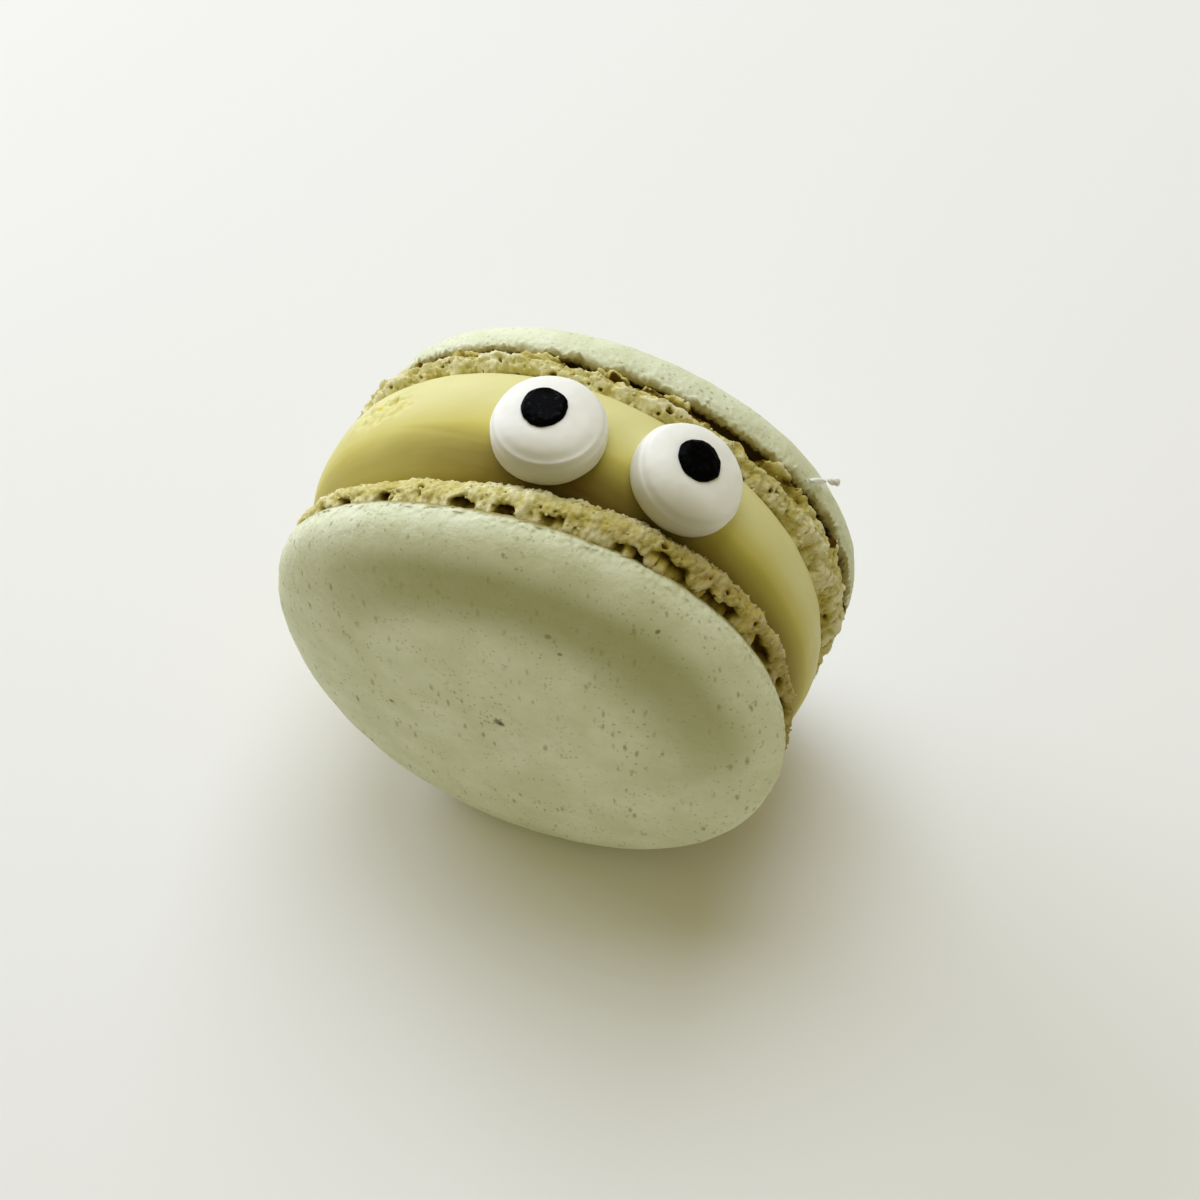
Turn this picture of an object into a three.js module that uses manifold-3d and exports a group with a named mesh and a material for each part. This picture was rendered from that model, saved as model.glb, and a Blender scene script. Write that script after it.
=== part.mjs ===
// French macaron standing on its edge, with two candy eyes pressed into the rim of its filling.
// Each shell is a smooth domed cap on a ruffled foot, and a soft disc of filling lies between the shells.
// Millimetres, +Z up. The macaron's own axis runs along Y, the front shell faces -Y, and the part
// rests on small flat spots at the bottom of both shells, with the origin under the middle of its box.
import * as THREE from "three";
import { mergeVertices } from "three/addons/utils/BufferGeometryUtils.js";
import Module from "manifold-3d";

const wasm = await Module();
wasm.setup();

// How high the macaron's axis lies above the surface it stands on.
const axisHeight = 23.6;
// What two pieces that touch keep between them.
const seatGap = 0.3;
// How many columns each lathed disc has round its axis.
const segments = 72;

// A shell is measured from the macaron's mid-plane outwards, so both shells share one profile.
// Leans are millimetres of depth per millimetre sideways or upwards; a warp bends the whole disc.
// A foot's rings give a share of the way from its base to the cap's lip, and a step from its radius.
const frontShell = {
  facing: -1,
  cap: {
    radius: 24.0,
    rimDepth: 9.97,
    domeHeight: 4.67,
    squareness: 5.0,
    roundness: 2.26,
    crown: 1.1,
    lipDrop: 1.25,
    centre: { x: 0, z: 0 },
    lean: { x: -0.005, z: 0.029 },
    oval: { cosine: 0, sine: 0 },
    threeSided: { cosine: 0.018, sine: -0.004 },
  },
  foot: {
    radius: 23.75,
    baseDepth: 5.9,
    centre: { x: 0.4, z: 0.45 },
    lean: { x: -0.016, z: -0.007 },
    oval: { cosine: 0, sine: 0 },
    rings: [
      [0.92, -0.9],
      [0.75, -0.12],
      [0.52, 0],
      [0.33, -0.5],
      [0.15, -1.15],
      [0, -1.9],
    ],
    ruffle: 0.2,
    phase: 0.4,
  },
  baseWarp: 1,
  warpTwice: { cosine: -0.697, sine: -1.021 },
  warpThrice: { cosine: 0.262, sine: -0.263 },
};
const rearShell = {
  facing: 1,
  cap: {
    radius: 23.45,
    rimDepth: 10.36,
    domeHeight: 6.95,
    squareness: 2.6,
    roundness: 2,
    crown: 0,
    lipDrop: 1.4,
    centre: { x: 0.92, z: -0.6 },
    lean: { x: 0, z: -0.007 },
    oval: { cosine: 0.004, sine: -0.019 },
    threeSided: { cosine: 0, sine: 0 },
  },
  foot: {
    radius: 23.85,
    baseDepth: 4.1,
    centre: { x: 0.2, z: -0.2 },
    lean: { x: -0.02, z: 0.055 },
    oval: { cosine: 0.01, sine: 0 },
    rings: [
      [0.93, -0.9],
      [0.8, -0.15],
      [0.45, 0],
      [0.22, -0.15],
      [0.07, -0.45],
      [0, -1.1],
    ],
    ruffle: 0.3,
    phase: 2.1,
  },
  baseWarp: 0,
  warpTwice: { cosine: 0.775, sine: 0 },
  warpThrice: { cosine: 0, sine: 0 },
};

// The filling bulges out between the shells; its widest circle lies just behind the mid-plane.
const filling = {
  radius: 24.2,
  centre: { x: -0.05, z: 0.22 },
  widestDepth: -0.44,
  halfBulge: 5.4,
  edgeDrop: 2.2,
  roundness: 2.38,
};

// A candy eye is a thick white button with a domed top and a black pupil dropped on it.
const eye = {
  radius: 4.85,
  bandHeight: 2.0,
  height: 3.8,
  seatRadius: 23.8,
  pupilRadius: 1.95,
  pupilBase: 3.35,
  pupilTop: 4.15,
};
// angle is measured from the top towards +X, and along is the distance in front of the mid-plane.
const eyes = [
  { name: "left", angle: 0.3, along: 2.0, nod: 4.3, pupilShift: { side: -0.4, back: 0.24 } },
  { name: "right", angle: 27.9, along: 0.67, nod: 0.2, pupilShift: { side: -0.36, back: 0.3 } },
];

const colours = {
  shell: { color: 0xc3c8a0, roughness: 0.75, metalness: 0 },
  filling: { color: 0xb9ad5c, roughness: 0.45, metalness: 0 },
  eyeWhite: { color: 0xf1f1ec, roughness: 0.5, metalness: 0 },
  pupil: { color: 0x0b0b0d, roughness: 0.25, metalness: 0 },
};

function waves(turn, count, pair) {
  return pair.cosine * Math.cos(count * turn) + pair.sine * Math.sin(count * turn);
}

// How far a shell is pushed outwards at one place by its bent disc.
function warpAt(shell, x, z) {
  const turn = Math.atan2(z, x);
  const bend = waves(turn, 2, shell.warpTwice) + waves(turn, 3, shell.warpThrice);
  return (bend * (x * x + z * z)) / shell.cap.radius ** 2;
}

function leanAt(part, x, z) {
  return part.lean.x * x + part.lean.z * z;
}

// The depth of a foot's flat base, where the filling meets it.
function baseDepthAt(shell, x, z) {
  return shell.foot.baseDepth + leanAt(shell.foot, x, z) + shell.baseWarp * warpAt(shell, x, z);
}

// The profile runs from the dome's top over the rim and down the foot to the middle of the base.
// Each point has a depth, a radius and a share: 1 belongs to the cap, 0 to the base of the foot.
function shellProfile({ cap, foot }) {
  const domeSteps = 9;
  const points = [];
  for (let step = 0; step <= domeSteps; step++) {
    const climb = (Math.PI / 2) * (1 - step / domeSteps);
    const reach = step === 0 ? 0 : Math.cos(climb) ** (2 / cap.squareness);
    const rise = cap.domeHeight * Math.sin(climb) ** (2 / cap.roundness);
    const crown = cap.crown * (1 - reach * reach) ** 2;
    points.push({ depth: cap.rimDepth + rise + crown, radius: cap.radius * reach, share: 1 });
  }
  const lip = cap.rimDepth - cap.lipDrop;
  points.push({ depth: cap.rimDepth - 0.55 * cap.lipDrop, radius: cap.radius - 0.12, share: 1 });
  points.push({ depth: lip, radius: cap.radius - 0.55, share: 1 });
  points.push({ depth: lip + 0.15, radius: cap.radius - 1.35, share: 1 });
  for (const [share, step] of foot.rings) {
    const depth = foot.baseDepth + share * (lip - foot.baseDepth);
    points.push({ depth, radius: foot.radius + step, share, onFoot: true });
  }
  points.push({ depth: foot.baseDepth, radius: 0, share: 0, onFoot: true });
  return points;
}

// The foot's uneven frill, strongest halfway up the foot.
function frill(foot, turn, share) {
  const { ruffle, phase } = foot;
  const swell = Math.sin(9 * turn + phase) + Math.sin(14 * turn + 2.3 * phase) + Math.sin(23 * turn);
  return ruffle * swell * 0.5 * Math.sin(Math.PI * Math.min(1, share + 0.15));
}

function shellPoint(shell, point, turn) {
  const { cap, foot } = shell;
  const capRound = 1 + waves(turn, 2, cap.oval) + waves(turn, 3, cap.threeSided);
  const footRound = 1 + waves(turn, 2, foot.oval);
  const bump = point.radius > 0 ? frill(foot, turn, point.share) : 0;
  const radius = point.onFoot ? point.radius * footRound + bump : point.radius * capRound;
  const middle = point.onFoot ? foot.centre : cap.centre;
  const x = radius * Math.cos(turn);
  const z = radius * Math.sin(turn);
  const lean = point.share * leanAt(cap, x, z) + (1 - point.share) * leanAt(foot, x, z);
  const warp = (point.share + (1 - point.share) * shell.baseWarp) * warpAt(shell, x, z);
  return { x: x + middle.x, depth: point.depth + lean + warp, z: z + middle.z };
}

// A lathed profile whose every vertex is then moved to its own uneven place.
// place takes a profile point and a turn about the macaron's axis, and returns the vertex.
function unevenLathe(profile, place) {
  const outline = profile.map((point, row) => new THREE.Vector2(point.radius, row));
  const geometry = new THREE.LatheGeometry(outline, segments);
  const position = geometry.getAttribute("position");
  const rows = profile.length;
  for (let index = 0; index < position.count; index++) {
    const column = Math.floor(index / rows) % segments;
    const row = index % rows;
    const spot = place(profile[row], (column / segments) * 2 * Math.PI);
    position.setXYZ(index, spot.x, spot.y, spot.z);
  }
  return geometry;
}

// Turns a geometry into a closed solid, flipping its faces when they point inwards.
function solidFrom(geometry, matrix = new THREE.Matrix4()) {
  const bare = geometry.index ? geometry.toNonIndexed() : geometry.clone();
  bare.deleteAttribute("normal");
  bare.deleteAttribute("uv");
  const merged = mergeVertices(bare.applyMatrix4(matrix), 1e-3);
  const build = (triVerts) =>
    new wasm.Manifold(
      new wasm.Mesh({ numProp: 3, vertProperties: merged.attributes.position.array, triVerts }),
    );
  const solid = build(new Uint32Array(merged.index.array));
  return solid.volume() > 0 ? solid : build(new Uint32Array(merged.index.array).reverse());
}

function geometryFrom(solid) {
  const { vertProperties, triVerts } = solid.getMesh();
  const geometry = new THREE.BufferGeometry();
  geometry.setAttribute("position", new THREE.BufferAttribute(vertProperties, 3));
  geometry.setIndex(new THREE.BufferAttribute(triVerts, 1));
  geometry.computeVertexNormals();
  return geometry;
}

function makeShell(shell) {
  const profile = shellProfile(shell);
  const place = (point, turn) => {
    const spot = shellPoint(shell, point, turn);
    return { x: spot.x, y: shell.facing * spot.depth, z: spot.z + axisHeight };
  };
  return solidFrom(unevenLathe(profile, place));
}

// The filling's front and back faces follow the bases of the two feet, a seat's gap away.
function makeFilling() {
  const { radius, centre, widestDepth, halfBulge, edgeDrop, roundness } = filling;
  const bulgeSteps = 10;
  const profile = [{ side: -1, radius: 0 }];
  for (let step = 0; step <= bulgeSteps; step++) {
    profile.push({ side: -1 + (2 * step) / bulgeSteps, radius });
  }
  profile.push({ side: 1, radius: 0 });
  const place = (point, turn) => {
    const across = point.radius && radius - (point.side > 0 ? edgeDrop : 0.4 * edgeDrop);
    const rough = { x: across * Math.cos(turn) + centre.x, z: across * Math.sin(turn) + centre.z };
    const front = baseDepthAt(frontShell, rough.x, rough.z) - seatGap;
    const rear = -baseDepthAt(rearShell, rough.x, rough.z) + seatGap;
    const face = point.side > 0 ? front : rear;
    const depth = widestDepth + Math.abs(point.side) * (face - widestDepth);
    const reach = point.side > 0 ? point.side : (widestDepth - depth) / halfBulge;
    const out = point.radius && radius - edgeDrop * Math.abs(reach) ** roundness;
    return {
      x: out * Math.cos(turn) + centre.x,
      y: -depth,
      z: out * Math.sin(turn) + centre.z + axisHeight,
    };
  };
  return solidFrom(unevenLathe(profile, place));
}

// An eye's own frame has its foot at the origin and its axis along +Y; this sets it on the rim.
function eyeMatrix({ angle, along, nod }) {
  const turn = THREE.MathUtils.degToRad(angle);
  const stand = new THREE.Matrix4().makeRotationX(Math.PI / 2 + THREE.MathUtils.degToRad(nod));
  const sit = new THREE.Matrix4().makeTranslation(0, -along, eye.seatRadius);
  const swing = new THREE.Matrix4().makeRotationY(turn);
  const middle = new THREE.Matrix4().makeTranslation(
    filling.centre.x,
    0,
    filling.centre.z + axisHeight,
  );
  return middle.multiply(swing).multiply(sit).multiply(stand);
}

function lathe(points, steps) {
  return new THREE.LatheGeometry(
    points.map(([radius, height]) => new THREE.Vector2(radius, height)),
    steps,
  );
}

// The button's side stands upright, and its top is a low dome.
function buttonProfile(grow) {
  const { radius, bandHeight, height } = eye;
  const points = [
    [0, -grow],
    [radius - 0.35, -grow],
    [radius + grow, 0.35],
    [radius + grow, bandHeight],
  ];
  const domeSteps = 5;
  for (let step = 1; step < domeSteps; step++) {
    const climb = (Math.PI / 2) * (step / domeSteps);
    const rise = (height - bandHeight) * Math.sin(climb);
    points.push([(radius + grow) * Math.cos(climb) ** 0.8, bandHeight + grow + rise]);
  }
  points.push([0, height + grow]);
  return points;
}

function pupilSolid(pupilShift, matrix, grow) {
  const { pupilRadius, pupilBase, pupilTop } = eye;
  const points = [
    [0, pupilBase - grow],
    [pupilRadius - 0.15 + grow, pupilBase - grow],
    [pupilRadius + grow, pupilBase + 0.3],
    [pupilRadius - 0.5 + grow, pupilTop - 0.12],
    [0, pupilTop],
  ];
  const shift = new THREE.Matrix4().makeTranslation(pupilShift.side, 0, -pupilShift.back);
  return solidFrom(lathe(points, 24), matrix.clone().multiply(shift));
}

function floorBlock() {
  const size = 200;
  const block = new THREE.BoxGeometry(size, size, size);
  return solidFrom(block, new THREE.Matrix4().makeTranslation(0, 0, -size / 2));
}

function addPiece(group, name, solid, look) {
  const mesh = new THREE.Mesh(geometryFrom(solid), new THREE.MeshStandardMaterial(look));
  mesh.name = name;
  group.add(mesh);
}

const macaron = new THREE.Group();
const floor = floorBlock();
let front = makeShell(frontShell).subtract(floor);
let rear = makeShell(rearShell).subtract(floor);
let cream = makeFilling();

for (const { name, pupilShift, ...seat } of eyes) {
  const matrix = eyeMatrix(seat);
  const room = solidFrom(lathe(buttonProfile(seatGap), 36), matrix);
  cream = cream.subtract(room);
  front = front.subtract(room);
  rear = rear.subtract(room);
  const button = solidFrom(lathe(buttonProfile(0), 36), matrix);
  const recess = pupilSolid(pupilShift, matrix, seatGap);
  addPiece(macaron, `eye_disc_${name}`, button.subtract(recess), colours.eyeWhite);
  addPiece(macaron, `eye_pupil_${name}`, pupilSolid(pupilShift, matrix, 0), colours.pupil);
}
addPiece(macaron, "shell_front", front, colours.shell);
addPiece(macaron, "shell_rear", rear, colours.shell);
addPiece(macaron, "filling", cream.subtract(floor), colours.filling);

// The origin goes under the middle of the whole box, on the surface the macaron stands on.
const box = new THREE.Box3().setFromObject(macaron);
const middle = box.getCenter(new THREE.Vector3());
macaron.position.set(-middle.x, -middle.y, -box.min.z);

export default macaron;
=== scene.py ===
import math
import random

import bpy
from mathutils import Matrix, Vector, noise


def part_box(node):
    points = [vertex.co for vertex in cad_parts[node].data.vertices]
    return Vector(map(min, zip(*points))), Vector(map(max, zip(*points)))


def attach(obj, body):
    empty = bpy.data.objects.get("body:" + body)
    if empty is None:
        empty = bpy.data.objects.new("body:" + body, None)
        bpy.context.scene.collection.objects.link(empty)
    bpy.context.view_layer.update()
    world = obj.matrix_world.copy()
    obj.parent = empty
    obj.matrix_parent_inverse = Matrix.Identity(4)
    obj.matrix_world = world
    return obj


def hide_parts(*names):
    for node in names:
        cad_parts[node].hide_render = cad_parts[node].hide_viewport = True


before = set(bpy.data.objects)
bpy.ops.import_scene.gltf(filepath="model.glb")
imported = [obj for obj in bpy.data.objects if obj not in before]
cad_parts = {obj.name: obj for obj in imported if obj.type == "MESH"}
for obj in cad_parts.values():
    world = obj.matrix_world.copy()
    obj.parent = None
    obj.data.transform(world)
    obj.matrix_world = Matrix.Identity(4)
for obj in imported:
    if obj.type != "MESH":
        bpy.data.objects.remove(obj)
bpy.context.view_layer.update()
print("frame loaded")

mm = 0.001
axisHeight = 23.6          # the macaron's axis above the floor, in mm
seatGap = 0.3              # between the cream and each shell
floorGap = 0.00002         # nothing reaches lower than this, in metres

# Shells, in mm. Depth is measured outwards from the macaron's mid-plane.
# Leans are mm of depth per mm sideways or upwards, and warps bend the whole disc.
# A foot's rings are each a share of its height and a step in or out from its radius.
frontShell = {
    "facing": -1,
    "capRadius": 24.0,
    "rimDepth": 9.97,
    "domeHeight": 4.67,
    "squareness": 5.0,      # 2 is a plain round dome, more is boxier
    "roundness": 2.26,
    "crown": 1.1,           # extra height at the dome's middle
    "lipDrop": 1.25,        # from the widest circle to the crust's lower edge
    "capCentre": (0, 0),    # sideways and up
    "capLean": (-0.005, 0.029),
    "capOval": (0, 0),
    "capThree": (0.018, -0.004),    # a slightly three-sided outline
    "paintedShade": 1.0,         # how strong the painted shade ring is
    "footRadius": 23.75,
    "baseDepth": 5.9,
    "footCentre": (0.4, 0.45),
    "footLean": (-0.016, -0.007),
    "footOval": 0,
    "footRings": [(0.98, -1.5), (0.9, -0.7), (0.78, -0.12), (0.64, 0.08), (0.52, 0), (0.4, -0.25),
                  (0.28, -0.65), (0.16, -1.1), (0.06, -1.6), (0, -2.3)],
    "baseWarp": 1,
    "warpTwice": (-0.697, -1.021),
    "warpThrice": (0.262, -0.263),
}
rearShell = {
    "facing": 1,
    "capRadius": 23.45,
    "rimDepth": 10.36,
    "domeHeight": 6.95,
    "squareness": 2.6,
    "roundness": 2,
    "crown": 0,
    "lipDrop": 1.4,
    "capCentre": (0.92, -0.6),
    "capLean": (0, -0.007),
    "capOval": (0.004, -0.019),
    "capThree": (0, 0),
    "paintedShade": 0.0,
    "footRadius": 23.85,
    "baseDepth": 4.1,
    "footCentre": (0.2, -0.2),
    "footLean": (-0.02, 0.055),
    "footOval": 0.01,
    "footRings": [(0.99, -2.0), (0.94, -1.4), (0.87, -0.75), (0.76, -0.15), (0.6, 0.05), (0.42, 0),
                  (0.25, -0.1), (0.12, -0.35), (0.04, -0.8), (0, -1.5)],
    "baseWarp": 0,
    "warpTwice": (0.775, 0),
    "warpThrice": (0, 0),
}
cream = {
    "radius": 24.2,
    "centre": (-0.05, 0.22),
    "widestDepth": -0.44,
    "halfBulge": 5.4,
    "edgeDrop": 2.2,
    "roundness": 2.38,
}

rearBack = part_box("shell_rear")[1].y
middle = Vector((
    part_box("filling")[0].x + (cream["radius"] - cream["centre"][0]) * mm,
    rearBack - (rearShell["rimDepth"] + rearShell["domeHeight"]) * mm,
    axisHeight * mm,
))


def deselectAll():
    if bpy.context.object and bpy.context.object.mode != "OBJECT":
        bpy.ops.object.mode_set(mode="OBJECT")
    bpy.ops.object.select_all(action="DESELECT")


def waves(turn, count, pair):
    return pair[0] * math.cos(count * turn) + pair[1] * math.sin(count * turn)


# 0 before low, 1 after high and eased between them; low may be the larger.
def smooth(low, high, value):
    t = min(1.0, max(0.0, (value - low) / (high - low)))
    return t * t * (3 - 2 * t)


def warpAt(shell, x, z):
    turn = math.atan2(z, x)
    bend = waves(turn, 2, shell["warpTwice"]) + waves(turn, 3, shell["warpThrice"])
    return bend * (x * x + z * z) / shell["capRadius"] ** 2


def baseDepthAt(shell, x, z):
    lean = shell["footLean"][0] * x + shell["footLean"][1] * z
    return shell["baseDepth"] + lean + shell["baseWarp"] * warpAt(shell, x, z)


def lipDepth(shell):
    return shell["rimDepth"] - shell["lipDrop"]


# The uneven place, in metres, of a point given in mm on a true round shell.
def unevenPoint(shell, x, up, depth, onFoot):
    turn = math.atan2(up, x)
    if onFoot:
        grow = 1 + shell["footOval"] * math.cos(2 * turn)
        centre = shell["footCentre"]
        share = (depth - shell["baseDepth"]) / (lipDepth(shell) - shell["baseDepth"])
        share = min(1.0, max(0.0, share))
    else:
        grow = 1 + waves(turn, 2, shell["capOval"]) + waves(turn, 3, shell["capThree"])
        centre = shell["capCentre"]
        share = 1.0
    x, up = x * grow, up * grow
    capLean = shell["capLean"][0] * x + shell["capLean"][1] * up
    footLean = shell["footLean"][0] * x + shell["footLean"][1] * up
    lean = share * capLean + (1 - share) * footLean
    warp = (share + (1 - share) * shell["baseWarp"]) * warpAt(shell, x, up)
    return Vector((
        middle.x + (x + centre[0]) * mm,
        middle.y + shell["facing"] * (depth + lean + warp) * mm,
        middle.z + (up + centre[1]) * mm,
    ))


# Draws a circle out ring by ring along (depth, radius) pairs, then caps or bridges its two ends.
def turnDisc(name, columns, profile, closedRing=False):
    deselectAll()
    depth, radius = profile[0]
    bpy.ops.mesh.primitive_circle_add(vertices=columns, radius=radius * mm)
    piece = bpy.context.object
    piece.name = name
    piece.data.name = name
    bpy.ops.object.mode_set(mode="EDIT")
    bpy.ops.mesh.select_all(action="SELECT")
    bpy.ops.transform.translate(value=(0, 0, depth * mm))
    for newDepth, newRadius in profile[1:]:
        bpy.ops.mesh.extrude_region_move(
            TRANSFORM_OT_translate={"value": (0, 0, (newDepth - depth) * mm)})
        grow = newRadius / radius
        bpy.ops.transform.resize(value=(grow, grow, 1), center_override=(0, 0, newDepth * mm))
        depth, radius = newDepth, newRadius
    if closedRing:
        bpy.ops.mesh.select_all(action="DESELECT")
        bpy.ops.mesh.select_mode(type="EDGE")
        bpy.ops.mesh.select_non_manifold(extend=False)
        bpy.ops.mesh.bridge_edge_loops()
    else:
        bpy.ops.mesh.edge_face_add()
        bpy.ops.mesh.select_all(action="DESELECT")
        bpy.ops.mesh.select_non_manifold(extend=False)
        bpy.ops.mesh.edge_face_add()
    bpy.ops.object.mode_set(mode="OBJECT")
    return piece


def subdivide(piece, levels):
    modifier = piece.modifiers.new("soften", "SUBSURF")
    modifier.levels = levels
    modifier.render_levels = levels
    modifier.use_limit_surface = False
    bpy.context.view_layer.objects.active = piece
    bpy.ops.object.modifier_apply(modifier=modifier.name)


def faceOutwards(piece):
    deselectAll()
    piece.select_set(True)
    bpy.context.view_layer.objects.active = piece
    bpy.ops.object.mode_set(mode="EDIT")
    bpy.ops.mesh.select_all(action="SELECT")
    bpy.ops.mesh.normals_make_consistent(inside=False)
    bpy.ops.object.mode_set(mode="OBJECT")
    bpy.ops.object.shade_smooth()


# Moves every vertex to where place(point, normal) puts it, from mm to metres.
def reshape(piece, place):
    mesh = piece.data
    points = [vertex.co / mm for vertex in mesh.vertices]
    normals = [vertex.normal.copy() for vertex in mesh.vertices]
    flat = []
    for point, normal in zip(points, normals):
        moved = place(point, normal)
        flat += (moved.x, moved.y, max(moved.z, floorGap))
    mesh.vertices.foreach_set("co", flat)
    mesh.update()


def setValues(piece, **values):
    for name, numbers in values.items():
        attribute = piece.data.attributes.new(name, "FLOAT", "POINT")
        attribute.data.foreach_set("value", numbers)


def joinPieces(pieces, name):
    deselectAll()
    for piece in pieces:
        piece.select_set(True)
    bpy.context.view_layer.objects.active = pieces[0]
    bpy.ops.object.join()
    bpy.context.object.name = name
    return bpy.context.object


def finishPiece(piece, node, material):
    piece.data.materials.clear()
    piece.data.materials.append(material)
    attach(piece, "root")
    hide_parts(node)
    print(piece.name, len(piece.data.polygons), "faces")


def addNode(tree, kind, x, y, **inputs):
    node = tree.nodes.new(kind if kind.startswith("NodeGroup") else "ShaderNode" + kind)
    node.location = (x, y)
    for key, value in inputs.items():
        if key in node.bl_rna.properties and not key.startswith("in_"):
            setattr(node, key, value)
        else:
            node.inputs[key.replace("in_", "").replace("_", " ")].default_value = value
    return node


def newGroup(name, inputs, outputs):
    tree = bpy.data.node_groups.new(name, "ShaderNodeTree")
    for label, kind, value in inputs:
        socket = tree.interface.new_socket(name=label, in_out="INPUT", socket_type=kind)
        if value is not None:
            socket.default_value = value
    for label, kind in outputs:
        tree.interface.new_socket(name=label, in_out="OUTPUT", socket_type=kind)
    start = addNode(tree, "NodeGroupInput", -900, 0)
    end = addNode(tree, "NodeGroupOutput", 700, 0)
    return tree, start, end


def onePer(tree, socket, x, y):
    node = addNode(tree, "Math", x, y, operation="DIVIDE")
    node.inputs[0].default_value = 1
    tree.links.new(socket, node.inputs[1])
    return node.outputs[0]


# Scattered specks: each Voronoi cell may hold one, of its own size, with a ragged edge.
def makeSpeckleGroup():
    tree, start, end = newGroup("speckle", [
        ("Vector", "NodeSocketVector", None), ("Spacing", "NodeSocketFloat", 1.0),
        ("Size", "NodeSocketFloat", 0.2), ("Amount", "NodeSocketFloat", 0.4),
        ("Ragged", "NodeSocketFloat", 0.2),
    ], [("Mask", "NodeSocketFloat")])
    link = tree.links.new
    per = onePer(tree, start.outputs["Spacing"], -720, 120)
    fray = addNode(tree, "TexNoise", -720, -120, in_Scale=4.5, in_Detail=2.0)
    link(start.outputs["Vector"], fray.inputs["Vector"])
    centred = addNode(tree, "VectorMath", -540, -120, operation="SUBTRACT")
    centred.inputs[1].default_value = (0.5, 0.5, 0.5)
    link(fray.outputs["Color"], centred.inputs[0])
    frayed = addNode(tree, "VectorMath", -380, -120, operation="SCALE")
    link(centred.outputs[0], frayed.inputs[0])
    link(start.outputs["Ragged"], frayed.inputs["Scale"])
    moved = addNode(tree, "VectorMath", -220, 0, operation="ADD")
    link(start.outputs["Vector"], moved.inputs[0])
    link(frayed.outputs[0], moved.inputs[1])
    cells = addNode(tree, "TexVoronoi", -40, 0)
    link(moved.outputs[0], cells.inputs["Vector"])
    link(per, cells.inputs["Scale"])
    parts = addNode(tree, "SeparateColor", 140, -120)
    link(cells.outputs["Color"], parts.inputs[0])
    chosen = addNode(tree, "Math", 300, -160, operation="LESS_THAN")
    link(parts.outputs[0], chosen.inputs[0])
    link(start.outputs["Amount"], chosen.inputs[1])
    ownSize = addNode(tree, "Math", 300, 0, operation="MULTIPLY")
    link(parts.outputs[1], ownSize.inputs[0])
    link(start.outputs["Size"], ownSize.inputs[1])
    inside = addNode(tree, "MapRange", 460, 60,
                     in_From_Min=0.0, in_To_Min=1.0, in_To_Max=0.0)
    link(cells.outputs["Distance"], inside.inputs["Value"])
    link(ownSize.outputs[0], inside.inputs["From Max"])
    mask = addNode(tree, "Math", 580, -40, operation="MULTIPLY", use_clamp=True)
    link(inside.outputs[0], mask.inputs[0])
    link(chosen.outputs[0], mask.inputs[1])
    link(mask.outputs[0], end.inputs["Mask"])
    return tree


# Soft cloudy patches, pushed towards their two ends by Contrast.
def makeMottleGroup():
    tree, start, end = newGroup("mottle", [
        ("Vector", "NodeSocketVector", None), ("Patch", "NodeSocketFloat", 3.0),
        ("Detail", "NodeSocketFloat", 3.0), ("Contrast", "NodeSocketFloat", 0.2),
    ], [("Value", "NodeSocketFloat")])
    link = tree.links.new
    per = onePer(tree, start.outputs["Patch"], -700, 0)
    cloud = addNode(tree, "TexNoise", -500, 0, in_Roughness=0.55)
    link(start.outputs["Vector"], cloud.inputs["Vector"])
    link(per, cloud.inputs["Scale"])
    link(start.outputs["Detail"], cloud.inputs["Detail"])
    spread = addNode(tree, "MapRange", 0, 0, interpolation_type="SMOOTHSTEP")
    link(cloud.outputs["Fac"], spread.inputs["Value"])
    for operation, limit, y in (("SUBTRACT", "From Min", -120), ("ADD", "From Max", -260)):
        edge = addNode(tree, "Math", -300, y, operation=operation)
        edge.inputs[0].default_value = 0.5
        link(start.outputs["Contrast"], edge.inputs[1])
        link(edge.outputs[0], spread.inputs[limit])
    link(spread.outputs[0], end.inputs["Value"])
    return tree


# Fine grain of flour and dried foam: tiny bumps with tinier pores between them.
def makeGrainGroup():
    tree, start, end = newGroup("grain", [
        ("Vector", "NodeSocketVector", None), ("Bump", "NodeSocketFloat", 0.3),
        ("Pores", "NodeSocketFloat", 0.5),
    ], [("Height", "NodeSocketFloat")])
    link = tree.links.new
    per = onePer(tree, start.outputs["Bump"], -700, 0)
    bumps = addNode(tree, "TexNoise", -500, 80, in_Detail=4.0, in_Roughness=0.6)
    link(start.outputs["Vector"], bumps.inputs["Vector"])
    link(per, bumps.inputs["Scale"])
    pores = addNode(tree, "TexVoronoi", -500, -160)
    link(start.outputs["Vector"], pores.inputs["Vector"])
    link(per, pores.inputs["Scale"])
    hole = addNode(tree, "MapRange", -300, -160, in_From_Min=0.0, in_From_Max=0.35)
    link(pores.outputs["Distance"], hole.inputs["Value"])
    deep = addNode(tree, "Math", -100, -100, operation="MULTIPLY")
    link(hole.outputs[0], deep.inputs[0])
    link(start.outputs["Pores"], deep.inputs[1])
    both = addNode(tree, "Math", 100, 0, operation="ADD")
    link(bumps.outputs["Fac"], both.inputs[0])
    link(deep.outputs[0], both.inputs[1])
    link(both.outputs[0], end.inputs["Height"])
    return tree


speckle = makeSpeckleGroup()
mottle = makeMottleGroup()
grain = makeGrainGroup()


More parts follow.
